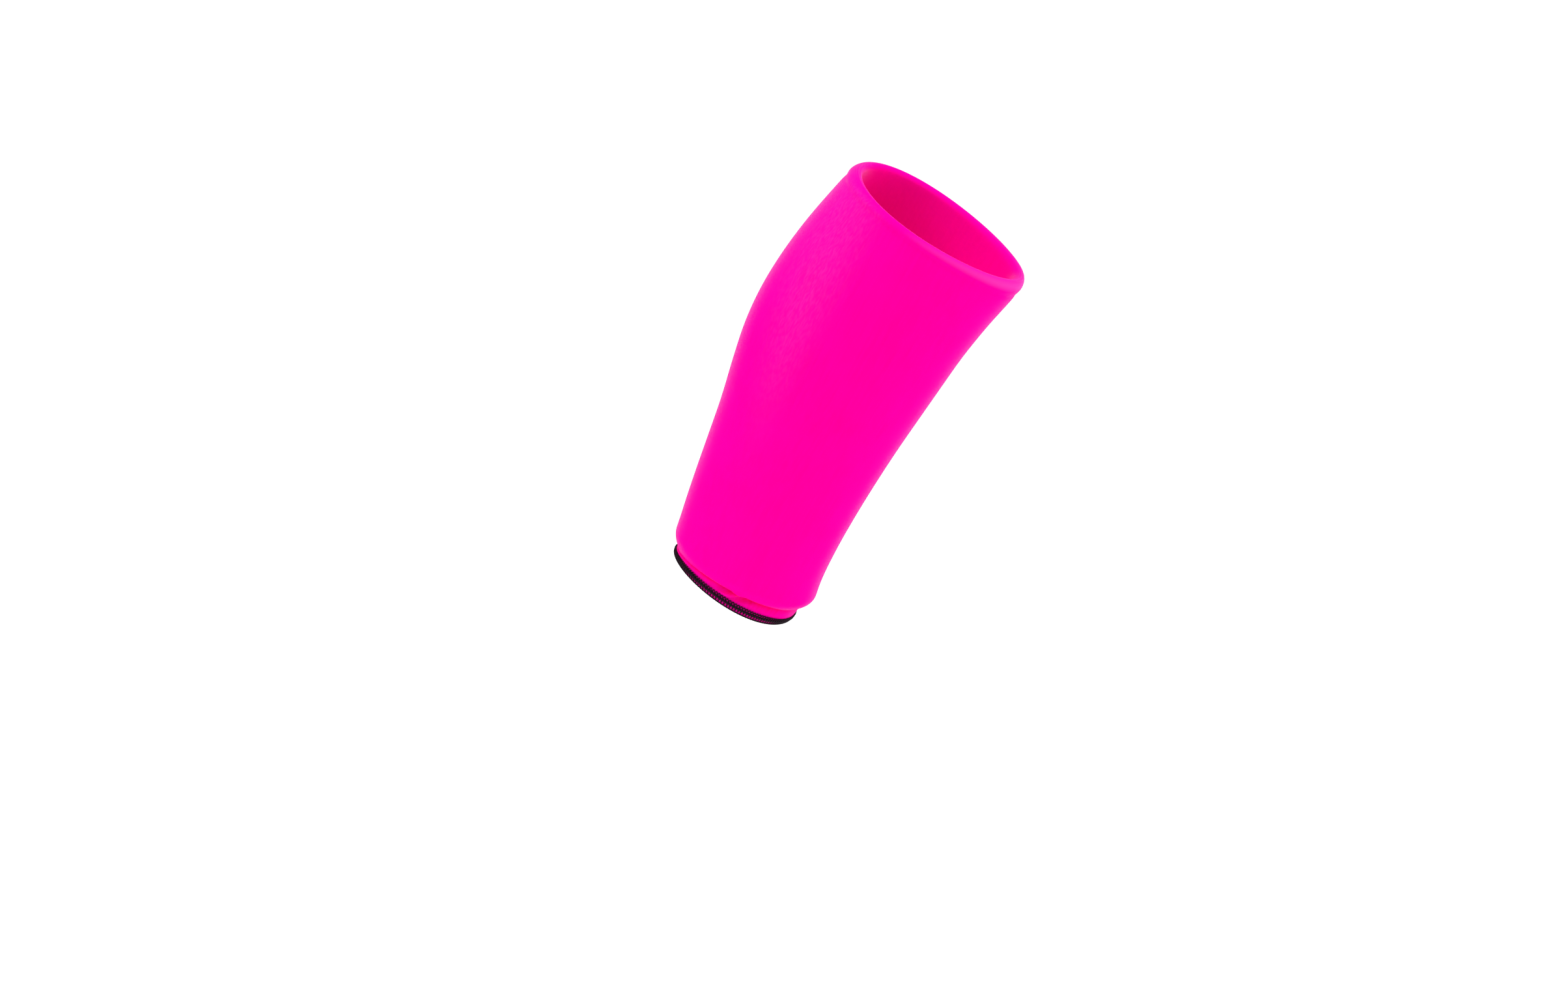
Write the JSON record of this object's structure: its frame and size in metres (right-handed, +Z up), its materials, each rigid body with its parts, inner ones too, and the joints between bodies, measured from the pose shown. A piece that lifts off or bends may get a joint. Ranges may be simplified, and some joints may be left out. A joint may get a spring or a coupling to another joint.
{
  "type": "calf cooling sleeve",
  "caption": "Padded stretch sleeve for the calf, a gel-filled knit tube shaped to the leg, with a rolled top rim, a thin hem and an overlocked lower edge.",
  "frame": {"origin": "on the leg's axis, level with the fullest part of the calf, where the sleeve grips the leg", "axes": "+Z up the leg to the knee, +X to the shin, -X to the calf muscle, -Y to the outer side of a right leg"},
  "size_m": [0.1302, 0.112, 0.2584],
  "materials": {
    "pink_knit": "fine stretch knit, soft satin sheen",
    "black_thread": "textured overlock thread"
  },
  "bodies": {
    "root": {"padded_wall": "pink_knit", "hem_band": "pink_knit", "overlock_edge": "black_thread"}
  },
  "joints": []
}
